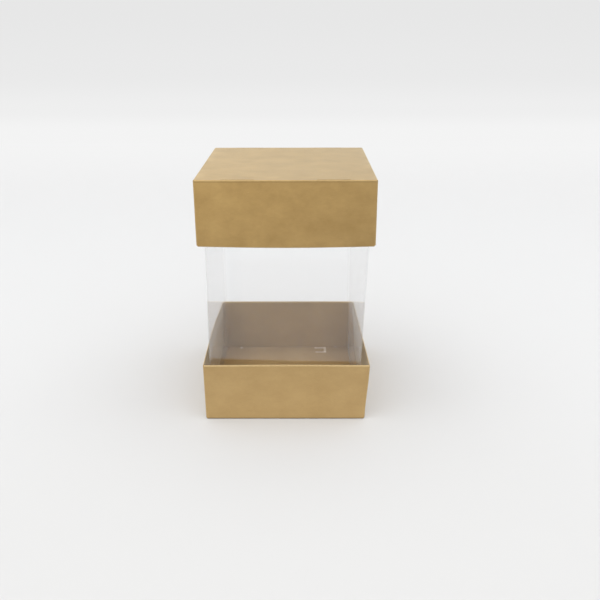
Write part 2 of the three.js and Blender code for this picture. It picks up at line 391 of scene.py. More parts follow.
BASE_LEFT_BOW = 0.4 * MM  # the left wall's rim, outwards in its middle
BASE_LEFT_LEAN = 0.8 * MM  # and inwards at its back end
BASE_RIGHT_FLARE = 0.8 * MM  # the right wall's rim, outwards at its front end
BASE_RIGHT_LEAN = 1.5 * MM  # and inwards at its back end
BASE_FRONT_LEAN = 0.4 * MM  # the front rim, inwards
BASE_RIGHT_TUCK = 0.8 * MM  # the right wall's foot, inwards at its front end
LID_SHIFT = Vector((0.8 * MM, 0.7 * MM, 0))  # the loose lid sits this far off the middle
LID_FLARE = 0.18 * MM  # the lid's lower rims, outwards
LID_FRONT_BOW = 0.9 * MM  # the front rim, outwards in its middle
LID_FRONT_SAG = 0.35 * MM  # and downwards
LID_TOP_SAG = 0.3 * MM  # the top panel, downwards in its middle
SIDE_FROM = 0.2  # share of the half width from which a point goes with the side wall
FRONT_FROM = 0.8  # shares of the half depth between which it comes to go with the front wall
FRONT_TO = 0.97

# The marks of the creases round the floor panel and of the rolled rims: pale above zero, part
# wear and part painted highlight, and painted shade below zero, as at the base's foot
BASE_FOLD_WEAR_AND_LIGHT = (-0.8, 2.2)
LID_FOLD_WEAR_AND_LIGHT = (1.0, 0.6)


def near_side(x):
    """1 at the wall that x points to, 0 in the middle of the box."""
    return smooth(x, SIDE_FROM * HALF_WIDTH, HALF_WIDTH)


def near_front(y):
    """1 at the front wall, 0 in the box and behind it."""
    return smooth(-y, FRONT_FROM * HALF_DEPTH, FRONT_TO * HALF_DEPTH)


def settled_base(p):
    rise = smooth(p.z, 0, TRAY_HEIGHT)
    backward = (p.y + HALF_DEPTH) / (2 * HALF_DEPTH)
    left = near_side(-p.x) * rise
    right = near_side(p.x) * rise
    front = near_front(p.y) * rise
    x = p.x - left * BASE_LEFT_BOW * bow(p.y, HALF_DEPTH)
    x += left * BASE_LEFT_LEAN * smooth(backward, 0.5, 1)
    x += right * (BASE_RIGHT_FLARE * (1 - backward) - BASE_RIGHT_LEAN * backward)
    foot = near_side(p.x) - right
    x -= foot * BASE_RIGHT_TUCK * (1 - backward)
    y = p.y + front * BASE_FRONT_LEAN * bow(p.x, HALF_WIDTH)
    return Vector((x, y, p.z))


def settled_lid(p):
    """p is a point of the blank folded upwards. The lid is that blank turned over about X."""
    p = Vector((p.x, -p.y, BOX_HEIGHT - p.z))
    drop = smooth(BOX_HEIGHT - p.z, 0, TRAY_HEIGHT)
    front = near_front(p.y) * drop * bow(p.x, HALF_WIDTH)
    x = p.x + LID_FLARE * drop * p.x / HALF_WIDTH
    y = p.y + LID_FLARE * drop * p.y / HALF_DEPTH - LID_FRONT_BOW * front
    sag = LID_TOP_SAG * bow(p.x, HALF_WIDTH) * bow(p.y, HALF_DEPTH) * (1 - drop)
    return Vector((x, y, p.z - sag - LID_FRONT_SAG * front)) + LID_SHIFT


# The clear sleeve

# How far each crease leans off its nominal place in X, at the foot and at the top
SLEEVE_LEAN = {
    "front_left": (-0.9 * MM, 1.9 * MM),
    "front_right": (-1.6 * MM, 2.2 * MM),
    "back_left": (0.0, 0.3 * MM),
    "back_right": (-1.2 * MM, -2.4 * MM),
}
SLEEVE_PANEL_BOW = 0.35 * MM  # each panel, outwards in its middle
SLEEVE_FOOT_TUCK = 1.6 * MM  # the front left crease, backwards where it stands in the tray
SLEEVE_TUCK_TOP = 3.5 * TRAY_HEIGHT  # the height at which that tuck has faded out


def settled_sleeve(p):
    rise = (p.z - SHEET_FOOT) / (SHEET_TOP - SHEET_FOOT)
    u = (p.x / SHEET_HALF_WIDTH + 1) / 2
    v = (p.y / SHEET_HALF_DEPTH + 1) / 2
    lean = {name: foot + (top - foot) * rise for name, (foot, top) in SLEEVE_LEAN.items()}
    front = lean["front_left"] * (1 - u) + lean["front_right"] * u
    back = lean["back_left"] * (1 - u) + lean["back_right"] * u
    x = p.x + front * (1 - v) + back * v
    free = bow(2 * rise - 1, 1)
    x += SLEEVE_PANEL_BOW * free * bow(p.y, SHEET_HALF_DEPTH) * (2 * u - 1) ** 3
    y = p.y + SLEEVE_PANEL_BOW * free * bow(p.x, SHEET_HALF_WIDTH) * (2 * v - 1) ** 3
    y += SLEEVE_FOOT_TUCK * (1 - smooth(p.z, TRAY_HEIGHT, SLEEVE_TUCK_TOP)) * (1 - u) * (1 - v)
    return Vector((x, y, p.z))


def sleeve_path():
    """Stations round the sleeve: (distance, x, y, crease mark), from the back panel's free edge."""
    radius = SHEET_FOLD_RADIUS
    right = SHEET_HALF_WIDTH - SHEET / 2
    back = SHEET_HALF_DEPTH - SHEET / 2
    flap_back = back - SHEET - (seam_high.y - seam_low.y)
    path = []
    at = Vector((-SHEET_HALF_WIDTH + SEAM_SETBACK, back))
    heading = 0.0
    distance = 0.0
    runs = [
        (right - radius - at.x, True),
        (2 * back - 2 * radius, True),
        (2 * right - 2 * radius, True),
        (back + flap_back - 2 * radius, True),
        (GLUE_FLAP_WIDTH - radius - SHEET / 2, False),
    ]
    for length, turns in runs:
        forward = Vector((math.cos(heading), math.sin(heading)))
        marks = stations([0, CREASE_FADE, length - CREASE_FADE, length])
        for q in marks if not path else marks[1:]:
            near_start = max(0.0, 1 - q / CREASE_FADE) if path else 0.0
            near_end = max(0.0, 1 - (length - q) / CREASE_FADE) if turns else 0.0
            point = at + forward * q
            path.append((distance + q, point.x, point.y, max(near_start, near_end)))
        at += forward * length
        distance += length
        if not turns:
            break
        centre = at + Vector((forward.y, -forward.x)) * radius
        for i in range(1, FOLD_STEPS + 1):
            angle = math.pi / 2 * i / FOLD_STEPS
            arm = Matrix.Rotation(-angle, 2) @ (at - centre)
            path.append((distance + radius * angle, centre.x + arm.x, centre.y + arm.y, 1.0))
        at = Vector(path[-1][1:3])
        distance += radius * math.pi / 2
        heading -= math.pi / 2
    return path


def front_panel_span():
    """Where the flat part of the front panel starts and ends along the flat sheet."""
    front = SHEET / 2 - SHEET_HALF_DEPTH
    places = [distance for distance, _, y, _ in sleeve_path() if abs(y - front) < JOIN_REACH]
    return min(places), max(places)


def clear_sleeve(materials):
    sheet = Sheet()

    def place(height, station):
        distance, x, y, crease = station
        return (x, y, height), (distance, height), crease

    # Rows run down, so that the faces look outwards
    heights = stations([SHEET_TOP, SHEET_FOOT])
    sheet.grid(heights, sleeve_path(), place)
    return sheet.finish("sleeve_sheet", SHEET, settled_sleeve, materials, SHEET_ROUNDING)


def seam_fullness(height, side):
    """The share of its full half width that the adhesive reaches at a height. Its edges wander
    in a slow wave, and in a faster one that differs from side to side."""
    depth, pace = SEAM_SLOW_WAVE
    slow = depth * (1 + math.sin(height / MM * pace))
    depth, pace = SEAM_FAST_WAVE
    fast = depth * (1 + math.sin(height / MM * pace + side))
    return 1 - slow - fast


def seam_adhesive(material):
    """The line of adhesive in the overlap, with edges that wander as it was laid on."""
    thickness = seam_high.y - seam_low.y - 2 * SEAM_MARGIN
    middle_y = (seam_high.y + seam_low.y) / 2
    half = (seam_high.x - seam_low.x) / 2
    middle_x = (seam_high.x + seam_low.x) / 2
    sheet = Sheet()

    def place(height, t):
        x = middle_x + t * half * seam_fullness(height, t)
        return (x, middle_y, height), (x, height), 0.0

    heights = []
    count = math.ceil((seam_high.z - seam_low.z) / MM)
    for i in range(count + 1):
        heights.append(seam_high.z - (seam_high.z - seam_low.z) * i / count)
    sheet.grid(heights, [-1, -0.5, 0, 0.5, 1], place)
    return sheet.finish("seam_adhesive_line", thickness, settled_sleeve, [material], SEAM_ROUNDING)


# Shader helpers

def new_material(name):
    material = bpy.data.materials.new(name)
    material.use_nodes = True
    nodes = material.node_tree.nodes
    nodes.clear()
    output = nodes.new("ShaderNodeOutputMaterial")
    return material, nodes, material.node_tree.links, output


def math_node(nodes, links, operation, a, b, clamp=False):
    node = nodes.new("ShaderNodeMath")
    node.operation = operation
    node.use_clamp = clamp
    for socket, value in zip(node.inputs, (a, b)):
        if isinstance(value, (int, float)):
            socket.default_value = value
        else:
            links.new(value, socket)
    return node.outputs[0]


def flat_place(nodes, links, scale, shift=0.0):
    """The place on the flat sheet in millimetres, times the given scale along and across."""
    uv = nodes.new("ShaderNodeUVMap")
    uv.uv_map = "flat"
    mapping = nodes.new("ShaderNodeMapping")
    mapping.inputs["Scale"].default_value = (scale[0] / MM, scale[1] / MM, 1)
    mapping.inputs["Location"].default_value = (shift, shift, shift)
    links.new(uv.outputs[0], mapping.inputs["Vector"])
    return mapping.outputs[0]


def noise_on(nodes, links, place, detail=3.0, roughness=0.55, distortion=0.0):
    node = nodes.new("ShaderNodeTexNoise")
    node.inputs["Scale"].default_value = 1.0
    node.inputs["Detail"].default_value = detail
    node.inputs["Roughness"].default_value = roughness
    node.inputs["Distortion"].default_value = distortion
    links.new(place, node.inputs["Vector"])
    return node.outputs["Fac"]


def remap(nodes, links, value, from_low, from_high, to_low, to_high, smooth_steps=False):
    node = nodes.new("ShaderNodeMapRange")
    node.interpolation_type = "SMOOTHSTEP" if smooth_steps else "LINEAR"
    for name, number in (
        ("From Min", from_low), ("From Max", from_high), ("To Min", to_low), ("To Max", to_high),
    ):
        node.inputs[name].default_value = number
    links.new(value, node.inputs["Value"])
    return node.outputs[0]


def mix_colour(nodes, links, share, a, b, blend="MIX"):
    node = nodes.new("ShaderNodeMix")
    node.data_type = "RGBA"
    node.blend_type = blend
    factor, first, second = node.inputs[0], node.inputs[6], node.inputs[7]
    for socket, value in ((factor, share), (first, a), (second, b)):
        if isinstance(value, (int, float)):
            socket.default_value = value
        elif isinstance(value, tuple):
            socket.default_value = (*value, 1)
        else:
            links.new(value, socket)
    return node.outputs[2]


def mixed_shader(nodes, links, share, first, second):
    """The first shader where share is 0, and the second where it is 1."""
    mix = nodes.new("ShaderNodeMixShader")
    if isinstance(share, float):
        mix.inputs[0].default_value = share
    else:
        links.new(share, mix.inputs[0])
    links.new(first, mix.inputs[1])
    links.new(second, mix.inputs[2])
    return mix.outputs[0]


def crease_mark(nodes):
    crease = nodes.new("ShaderNodeAttribute")
    crease.attribute_name = "crease"
    return crease.outputs["Fac"]


# Kraft board

LID_KRAFT = (0.412, 0.258, 0.082)
BASE_KRAFT = (0.482, 0.315, 0.123)
KRAFT_REVERSE_SHADE = (0.85, 0.83, 0.83)  # painted shade: the level of the board's reverse, the inside of tray and lid, against its outer face
LID_PAINTED_SIDE_SHADE = 0.07  # painted shade: share by which the lid's board is darker at its right edge, away from the light, and paler at its left
WALL_PAINTED_LIGHT = (1.035, 0.945)  # painted light and shade: the board's level at a wall's crease and at its rim, as light falls on the walls
KRAFT_SWING = (0.16, 0.19, 0.28)  # how far the board's dark and light places lie off its colour
KRAFT_FLECK = (0.20, 0.10, 0.030)
KRAFT_PALE_FIBRE = (0.70, 0.53, 0.27)
# Painted light: the pale colour of the marks beside the lug slots
LIGHT_MARK_COLOUR = (0.92, 0.82, 0.66)
LID_CLOUDS = 0.30  # how strongly the lid's board is clouded, and the base's
BASE_CLOUDS = 0.17
MOTTLE_TONE = 0.4  # the fine mottle's share of that
FIBRE_TONE = 0.10
CROSS_FIBRE_TONE = 0.06
FLECK_SPAN = (0.72, 0.80)  # a fleck sets in between these values of its pattern
FLECK_MOST = 0.55
PALE_FIBRE_SPAN = (0.70, 0.80)  # and a pale fibre between these
PALE_FIBRE_MOST = 0.45
PALE_FOLD_SPAN = (0.35, 0.65)  # a fold's pale mark, part wear and part painted highlight, sets in between these values of the fibre pattern
PALE_FOLD_SHARE = (0.05, 0.32)
LIGHT_MARK_SPAN = (0.38, 0.62)  # and a pale mark of painted light sets in between these values of the mottle
LIGHT_MARK_SHARE = (0.25, 1.0)
# Painted shade: the board's level, against its colour, where a fold's mark is below zero
GROOVE_SHADE_LEVEL = 0.55
EDGE_PALENESS = 0.35
BASE_PATTERN_SHIFT = 3.0
LID_PATTERN_SHIFT = 41.0
BOARD_SHEEN = 0.78
BOARD_SHEEN_TINT = (1.0, 1.0, 0.87)
BOARD_SHEEN_ROUGHNESS = 0.35
BOARD_ROUGHNESS = (0.56, 0.70)
BOARD_GRAIN = 0.02 * MM
FIBRE_GRAIN = 0.6  # how high the fibres stand in the grain, against the mottle
CROSS_FIBRE_GRAIN = 0.5
FACE_BUMP = 0.6  # how strongly the grain shows on a face, and on a cut edge
EDGE_BUMP = 1.0
NOISE_SPAN = (0.3, 0.7)  # most of a noise texture's values lie in here

# Painted light: pale marks beside two lug slots of the base, where light shows through, on the flat
# sheet in mm: left, right, low, high
BASE_PAINTED_LIGHT_MARKS = (
    (15.6, 22.4, 36.3, 37.6),
    (16.2, 22.4, 30.9, 32.1),
    (21.1, 22.4, 30.9, 37.6),
    (-29.2, -27.8, 36.4, 37.9),
)
LIGHT_MARK_EDGE = 0.9


def inside_rectangle(nodes, links, x, y, rectangle):
    """1 in a rectangle, with a soft edge."""
    share = None
    for value, low, high in ((x, *rectangle[:2]), (y, *rectangle[2:])):
        for edge, ends in ((low, (0, 1)), (high, (1, 0))):
            span = (edge - LIGHT_MARK_EDGE / 2, edge + LIGHT_MARK_EDGE / 2)
            side = remap(nodes, links, value, *span, *ends, True)
            share = side if share is None else math_node(nodes, links, "MULTIPLY", share, side)
    return share


def board_patterns(nodes, links, shift):
    """The board's patterns on the flat sheet, moved by shift, with scales in marks per mm."""

    def pattern(scale, **settings):
        return noise_on(nodes, links, flat_place(nodes, links, scale, shift), **settings)

    return {
        "clouds": pattern((0.085, 0.11), detail=3),
        "mottle": pattern((0.35, 0.6), detail=4, roughness=0.65),
        "fibres": pattern((0.8, 6.0), detail=4, distortion=0.8),
        "cross_fibres": pattern((7.0, 1.6), detail=3, distortion=1.2),
        "flecks": pattern((1.7, 4.5), detail=1, distortion=0.6),
        "pale_fibres": pattern((0.9, 9.0), detail=1, distortion=1.6),
    }


def board_formation(nodes, links, patterns, kraft, cloudy):
    """The board's own colour, from its darkest clouds to its palest."""
    tone = remap(nodes, links, patterns["clouds"], *NOISE_SPAN, 0.5 - cloudy, 0.5 + cloudy)
    swings = {"mottle": MOTTLE_TONE * cloudy, "fibres": FIBRE_TONE, "cross_fibres": CROSS_FIBRE_TONE}
    for name, swing in swings.items():
        change = remap(nodes, links, patterns[name], *NOISE_SPAN, -swing, swing)
        tone = math_node(nodes, links, "ADD", tone, change)
    dark = tuple(level * (1 - swing) for level, swing in zip(kraft, KRAFT_SWING))
    light = tuple(level * (1 + swing) for level, swing in zip(kraft, KRAFT_SWING))
    return mix_colour(nodes, links, tone, dark, light)


def board_painted_shading(nodes, links, colour, x, y, fade):
    """Painted shade: darker to the right by fade, away from the light, and painted light and shade,
    darker from each wall's crease to its rim, as the light falls on the walls.
    """
    half = HALF_WIDTH / MM
    level = remap(nodes, links, x, -half, half, 1 + fade, 1 - fade)
    colour = mix_colour(nodes, links, 1.0, colour, level, "MULTIPLY")
    off_middle = [math_node(nodes, links, "ABSOLUTE", place, 0.0) for place in (x, y)]
    out = math_node(nodes, links, "MAXIMUM", *off_middle)
    level = remap(nodes, links, out, half, half + TRAY_HEIGHT / MM, *WALL_PAINTED_LIGHT)
    return mix_colour(nodes, links, 1.0, colour, level, "MULTIPLY")


def board_marks(nodes, links, colour, patterns):
    """Dark flecks, and single pale fibres that lie on top."""
    flecks = remap(nodes, links, patterns["flecks"], *FLECK_SPAN, 0.0, FLECK_MOST, True)
    colour = mix_colour(nodes, links, flecks, colour, KRAFT_FLECK)
    pale = remap(nodes, links, patterns["pale_fibres"], *PALE_FIBRE_SPAN, 0.0, PALE_FIBRE_MOST, True)
    return mix_colour(nodes, links, pale, colour, KRAFT_PALE_FIBRE)


def board_folds(nodes, links, colour, patterns, kraft):
    """Pale fibres where a fold is marked, part wear and part painted highlight, and a darker board,
    painted shade, where its mark is below zero.
    """
    crease = crease_mark(nodes)
    wear_and_highlight = math_node(nodes, links, "MAXIMUM", crease, 0.0)
    pale_streaks = remap(nodes, links, patterns["fibres"], *PALE_FOLD_SPAN, *PALE_FOLD_SHARE)
    wear_and_highlight = math_node(nodes, links, "MULTIPLY", wear_and_highlight, pale_streaks)
    colour = mix_colour(nodes, links, wear_and_highlight, colour, KRAFT_PALE_FIBRE)
    # Painted shade where the fold's mark is below zero
    painted_shade = math_node(nodes, links, "MULTIPLY", crease, -1.0, clamp=True)
    return mix_colour(nodes, links, painted_shade, colour, tuple(GROOVE_SHADE_LEVEL * level for level in kraft))


def board_light_marks(nodes, links, colour, patterns, x, y, light_marks):
    """Painted light: pale marks in the given rectangles, broken up by the mottle."""
    for rectangle in light_marks:
        lit_mark = inside_rectangle(nodes, links, x, y, rectangle)
        patchy = remap(nodes, links, patterns["mottle"], *LIGHT_MARK_SPAN, *LIGHT_MARK_SHARE)
        lit_mark = math_node(nodes, links, "MULTIPLY", lit_mark, patchy)
        colour = mix_colour(nodes, links, lit_mark, colour, LIGHT_MARK_COLOUR)
    return colour


def board_bump(nodes, links, patterns, strength):
    """The board's fine grain, as a bend of its normal."""
    height = math_node(nodes, links, "MULTIPLY", patterns["fibres"], FIBRE_GRAIN)
    height = math_node(nodes, links, "ADD", height, patterns["mottle"])
    cross = math_node(nodes, links, "MULTIPLY", patterns["cross_fibres"], CROSS_FIBRE_GRAIN)
    height = math_node(nodes, links, "ADD", height, cross)
    bump = nodes.new("ShaderNodeBump")
    bump.inputs["Strength"].default_value = strength
    bump.inputs["Distance"].default_value = BOARD_GRAIN
    links.new(height, bump.inputs["Height"])
    return bump.outputs[0]


def kraft_board(name, kraft, shift, cloudy, fade=0.0, light_marks=(), edge=False):
    """Unbleached kraft board: cloudy formation, long fibres, dark flecks, and fold marks that are
    part wear, part painted highlight and painted shade. shift moves the pattern over the flat
    sheet, so that two blanks differ, cloudy is how far its clouds go, fade is painted shade, the
    share by which the board darkens from its middle to its right edge, away from the light, and
    the given rectangles get pale marks of painted light. edge makes the paler and rougher board
    of a cut edge."""
    material, nodes, links, output = new_material(name)
    shader = nodes.new("ShaderNodeBsdfPrincipled")
    links.new(shader.outputs[0], output.inputs["Surface"])
    patterns = board_patterns(nodes, links, shift)
    place = nodes.new("ShaderNodeSeparateXYZ")
    links.new(flat_place(nodes, links, (1, 1)), place.inputs[0])
    x, y = place.outputs["X"], place.outputs["Y"]

    colour = board_formation(nodes, links, patterns, kraft, cloudy)
    colour = board_painted_shading(nodes, links, colour, x, y, fade)
    colour = board_marks(nodes, links, colour, patterns)
    colour = board_folds(nodes, links, colour, patterns, kraft)
    colour = board_light_marks(nodes, links, colour, patterns, x, y, light_marks)
    if edge:
        colour = mix_colour(nodes, links, EDGE_PALENESS, colour, KRAFT_PALE_FIBRE)
    links.new(colour, shader.inputs["Base Color"])

    roughness = remap(nodes, links, patterns["mottle"], *NOISE_SPAN, *BOARD_ROUGHNESS)
    links.new(roughness, shader.inputs["Roughness"])
    shader.inputs["Specular IOR Level"].default_value = 0.5
    shader.inputs["Sheen Weight"].default_value = BOARD_SHEEN
    shader.inputs["Sheen Roughness"].default_value = BOARD_SHEEN_ROUGHNESS
    shader.inputs["Sheen Tint"].default_value = (*BOARD_SHEEN_TINT, 1)
    bump = board_bump(nodes, links, patterns, EDGE_BUMP if edge else FACE_BUMP)
    links.new(bump, shader.inputs["Normal"])
    return material


def board_materials(prefix, kraft, shift, cloudy, fade=0.0, light_marks=()):
    """The board's outer face, its reverse, darker as painted shade and with the pale marks of painted
    light, and its cut edges.
    """
    reverse = tuple(level * share for level, share in zip(kraft, KRAFT_REVERSE_SHADE))
    return [
        kraft_board(prefix + "_kraft_board", kraft, shift, cloudy, fade),
        kraft_board(prefix + "_board_reverse", reverse, shift, cloudy, fade, light_marks),
        kraft_board(prefix + "_cut_edge", kraft, shift, cloudy, fade, edge=True),
    ]


# Clear sheet

SHEET_TINT = (0.996, 0.997, 0.998)
MILKY = (0.99, 0.99, 1.0)
MILKY_MOST = 0.5  # share of the light that a face scatters when it is seen edge-on
MIRROR_HEAD_ON = 0.020  # share that a face mirrors when it is seen straight on
FRONT_HEAD_ON = 0.064  # and on the front panel, which is the glossiest
MIRROR_EDGE_ON = 0.42  # what is added to that when it is seen edge-on
MIRROR_POWER = 5  # the higher, the nearer to edge-on it sets in
MIRROR_ROUGHNESS = 0.03
RIPPLE = 0.25 * MM
RIPPLE_STRENGTH = 0.5
FILM_HAZE = 0.0045  # share that an open face scatters when it is seen straight on
FILM_EDGE_HAZE = 0.02
FILM_EDGE_GLINTS = 0.6
GLUE_HAZE = 0.004
GLUE_SHARE_LEFT = 0.1  # what the adhesive's faces, between two layers of sheet, still show of that
CREASE_HAZE = 0.03
HAZE_POWER = 1.5  # the higher, the more scattering grows towards edge-on
LEAST_COSINE = 0.02
SCUFF_SPAN = (0.35, 0.75)  # haze grows between these values of the scuff pattern
SCUFF_SHARE = (0.8, 1.4)
GLINT_SPAN = (0.60, 0.66)  # and a bright place sets in between these values of its pattern
GLUED_FADE = 0.3 * MM  # to each side of the glued width, glued sheet turns into open sheet


def joined_share(nodes, links, along, sheet_length, glued_width, glued_share):
    """1 on the open sheet, and glued_share within glued_width of its two joined edges."""
    to_far_edge = math_node(nodes, links, "SUBTRACT", sheet_length, along)
    from_edge = math_node(nodes, links, "MINIMUM", along, to_far_edge)
    glued = (glued_width - GLUED_FADE, glued_width + GLUED_FADE)
    return remap(nodes, links, from_edge, *glued, glued_share, 1.0, True)


def mirror_share(nodes, links, aslant, along, whole):
    """What a face mirrors: most when it is seen aslant, and more on the front panel."""
    grazing = math_node(nodes, links, "POWER", aslant, MIRROR_POWER)
    front_from, front_to = front_panel_span()
    from_middle = math_node(nodes, links, "SUBTRACT", along, (front_from + front_to) / 2)
    off_front = math_node(nodes, links, "ABSOLUTE", from_middle, 0.0)
    front_half = (front_to - front_from) / 2
    panel_end = (front_half, front_half + SHEET_FOLD_RADIUS)
    head_on = remap(nodes, links, off_front, *panel_end, FRONT_HEAD_ON, MIRROR_HEAD_ON, True)
    mirror = math_node(nodes, links, "MULTIPLY", grazing, MIRROR_EDGE_ON)
    mirror = math_node(nodes, links, "ADD", mirror, head_on)
    return math_node(nodes, links, "MULTIPLY", mirror, whole)


def scatter_share(nodes, links, aslant, whole, haze, crease_haze, glints):
    """What fine scuffs and whitened creases scatter. A face seen aslant shows more of them."""
    scuffs = noise_on(nodes, links, flat_place(nodes, links, (0.12, 1.1)), detail=3, distortion=0.5)
    least, most = SCUFF_SHARE
    scatter = remap(nodes, links, scuffs, *SCUFF_SPAN, haze * least, haze * most)
    scatter = math_node(nodes, links, "MULTIPLY", scatter, whole)
    cosine = math_node(nodes, links, "SUBTRACT", 1.0, aslant)
    cosine = math_node(nodes, links, "MAXIMUM", cosine, LEAST_COSINE)
    steep = math_node(nodes, links, "POWER", cosine, HAZE_POWER)
    scatter = math_node(nodes, links, "DIVIDE", scatter, steep)
    scatter = math_node(nodes, links, "MINIMUM", scatter, MILKY_MOST)
    if glints:
        bright = noise_on(nodes, links, flat_place(nodes, links, (0.13, 0.13)), detail=1)
        bright = remap(nodes, links, bright, *GLINT_SPAN, 0.0, glints, True)
        scatter = math_node(nodes, links, "MAXIMUM", scatter, bright)
    folded = math_node(nodes, links, "MULTIPLY", crease_mark(nodes), crease_haze)
    return math_node(nodes, links, "ADD", scatter, folded, clamp=True)


def sheet_gloss(nodes, links):
    """The mirror of a sheet that isn't quite flat."""
    gloss = nodes.new("ShaderNodeBsdfGlossy")
    gloss.inputs["Color"].default_value = (1, 1, 1, 1)
    gloss.inputs["Roughness"].default_value = MIRROR_ROUGHNESS
    ripple = noise_on(nodes, links, flat_place(nodes, links, (0.03, 0.02)), detail=2)
    bump = nodes.new("ShaderNodeBump")
    bump.inputs["Strength"].default_value = RIPPLE_STRENGTH
    bump.inputs["Distance"].default_value = RIPPLE
    links.new(ripple, bump.inputs["Height"])
    links.new(bump.outputs[0], gloss.inputs["Normal"])
    return gloss.outputs[0]


def milky_shader(nodes, links):
    """Half of the scattered light comes from in front of the sheet, and half from behind it."""
    lit_in_front = nodes.new("ShaderNodeBsdfDiffuse")
    lit_from_behind = nodes.new("ShaderNodeBsdfTranslucent")
    for shader in (lit_in_front, lit_from_behind):
        shader.inputs["Color"].default_value = (*MILKY, 1)
    return mixed_shader(nodes, links, 0.5, lit_in_front.outputs[0], lit_from_behind.outputs[0])


def clear_film(name, haze, crease_haze, sheet_length=0.0, glued_width=0.0, glued_share=0.5, glints=0.0):
    """A clear sheet: each face mirrors and scatters more the more it is seen aslant. Within
    glued_width of its two joined edges only glued_share of that is left. glints is the share
    that scatters light in its short bright places."""
    material, nodes, links, output = new_material(name)
    weight = nodes.new("ShaderNodeLayerWeight")
    weight.inputs["Blend"].default_value = 0.5
    aslant = weight.outputs["Facing"]
    flat = nodes.new("ShaderNodeUVMap")
    flat.uv_map = "flat"
    place = nodes.new("ShaderNodeSeparateXYZ")
    links.new(flat.outputs[0], place.inputs[0])
    along = place.outputs["X"]

    whole = joined_share(nodes, links, along, sheet_length, glued_width, glued_share)
    mirror = mirror_share(nodes, links, aslant, along, whole)
    scatter = scatter_share(nodes, links, aslant, whole, haze, crease_haze, glints)
    through = nodes.new("ShaderNodeBsdfTransparent")
    through.inputs["Color"].default_value = (*SHEET_TINT, 1)
    clear = mixed_shader(nodes, links, mirror, through.outputs[0], sheet_gloss(nodes, links))
    surface = mixed_shader(nodes, links, scatter, clear, milky_shader(nodes, links))
    links.new(surface, output.inputs["Surface"])
    return material


def build_box():
    base_board = board_materials("base", BASE_KRAFT, BASE_PATTERN_SHIFT, BASE_CLOUDS, light_marks=BASE_PAINTED_LIGHT_MARKS)
    lid_board = board_materials("lid", LID_KRAFT, LID_PATTERN_SHIFT, LID_CLOUDS, LID_PAINTED_SIDE_SHADE)
    joined = {"sheet_length": sleeve_path()[-1][0], "glued_width": JOINED_WIDTH}
    film = clear_film("clear_sheet", FILM_HAZE, CREASE_HAZE, **joined)
    joined["glints"] = FILM_EDGE_GLINTS
    film_edge = clear_film("sheet_cut_edge", FILM_EDGE_HAZE, CREASE_HAZE, **joined)
    # The adhesive lies wholly in the overlap. A glued width of 1 metre takes in all of it
    glue = clear_film("seam_adhesive", GLUE_HAZE, 0.0, glued_width=1, glued_share=GLUE_SHARE_LEFT)

    base = folded_blank("base_tray", settled_base, BASE_FOLD_WEAR_AND_LIGHT, base_board)
    lid = folded_blank("lid_tray", settled_lid, LID_FOLD_WEAR_AND_LIGHT, lid_board)
    sleeve = clear_sleeve([film, film_edge])
    seam = seam_adhesive(glue)
    for piece, body, slot, nodes in (
        (base, "base", "kraft_board", base_nodes),
        (lid, "lid", "kraft_board", lid_nodes),
        (sleeve, "sleeve", "clear_sheet", sheet_nodes),
        (seam, "sleeve", "seam_adhesive", ["sleeve_seam_adhesive"]),
    ):
        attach(piece, body)
        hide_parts(*nodes)


# Floor and backdrop

FLOOR_HALF = 3.0
BACKDROP_FROM = 1.1
BACKDROP_RADIUS = 0.55
BACKDROP_TOP = 2.2
BACKDROP_STEPS = 24
# Painted light: the floor is a little darker in front of the box than behind it
FRONT_FLOOR_COLOUR = (0.646, 0.643, 0.635)
BACK_FLOOR_COLOUR = (0.676, 0.675, 0.671)
FLOOR_TURN = (-0.17, 0.02)  # the places in Y between which the one turns into the other
FAR_FLOOR = (0.25, 0.75)  # metres behind the box over which the floor turns into backdrop

# Painted light: how pale the far floor and backdrop glow, graded as light falls off up the sweep,
# by metres behind the box plus metres of height
FAR_RANGE = 2.5
FAR_PAINTED_LIGHT = (
    (0.3, 0.885), (0.6, 0.905), (0.9, 0.90), (1.2, 0.86), (1.45, 0.82), (1.75, 0.80), (2.2, 0.79),
)


def seen_directly(nodes, links):
    """1 for camera rays and for what gloss and clear sheet show, 0 for light on the object."""
    paths = nodes.new("ShaderNodeLightPath")
    seen = paths.outputs["Is Camera Ray"]
    for kind in ("Is Glossy Ray", "Is Transmission Ray"):
        seen = math_node(nodes, links, "MAXIMUM", seen, paths.outputs[kind])
    return seen


